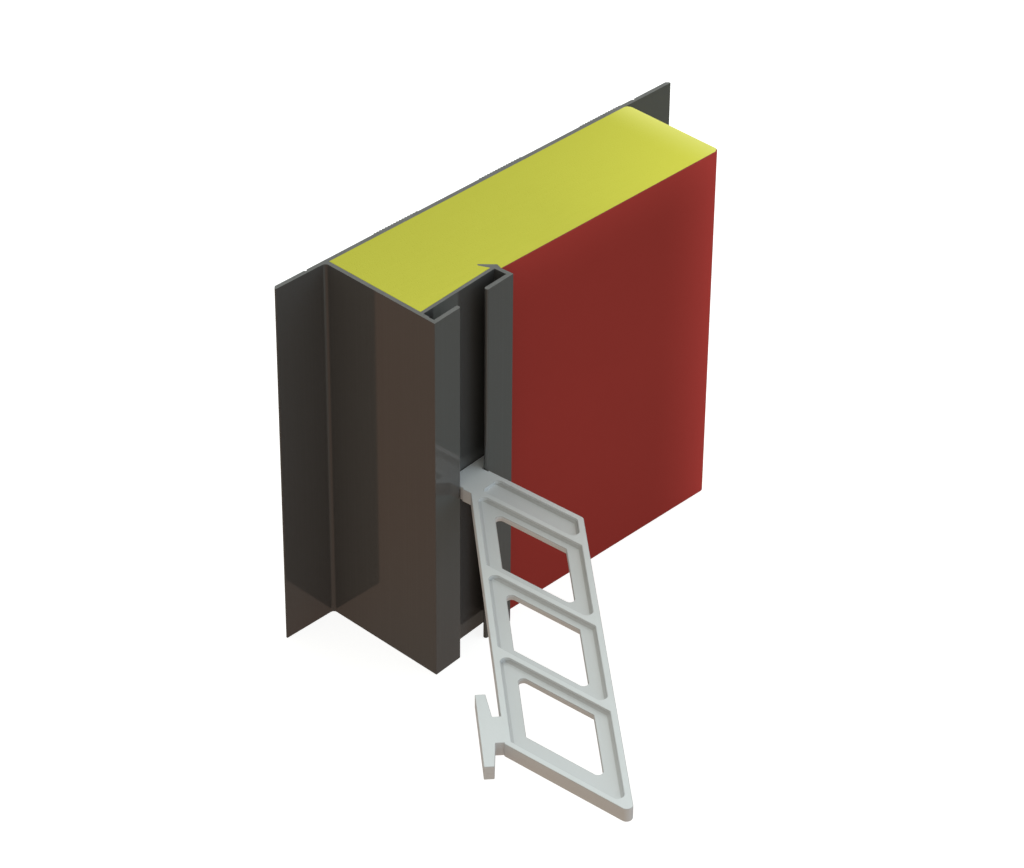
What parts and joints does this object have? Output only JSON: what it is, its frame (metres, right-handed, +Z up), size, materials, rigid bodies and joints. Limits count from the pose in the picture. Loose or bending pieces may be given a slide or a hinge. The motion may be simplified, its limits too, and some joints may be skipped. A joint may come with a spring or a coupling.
{
  "type": "cavity closer",
  "caption": "Extruded closer profile with flanges, web and tie channel round an insulation core with a thin facing, with a ladder-shaped wall tie that slides in the channel.",
  "frame": {"origin": "middle of the insulation core on the lower cut end", "axes": "+Z up along the extrusion, +X across the wall cavity away from the web, +Y out to the reveal face"},
  "size_m": [0.1749, 0.1411, 0.1],
  "materials": {
    "profile": "gloss",
    "insulation": "matt, smooth cut",
    "facing": "satin film",
    "tie": "satin"
  },
  "bodies": {
    "closer": {"profile": "profile", "insulation": "insulation", "facing": "facing"},
    "tie": {"tie": "tie"}
  },
  "joints": [
    {"name": "tie_slide", "type": "slide", "parent": "closer", "child": "tie", "axis": [0, 0, 1], "range_m": [-0.0465, 0.05]}
  ]
}
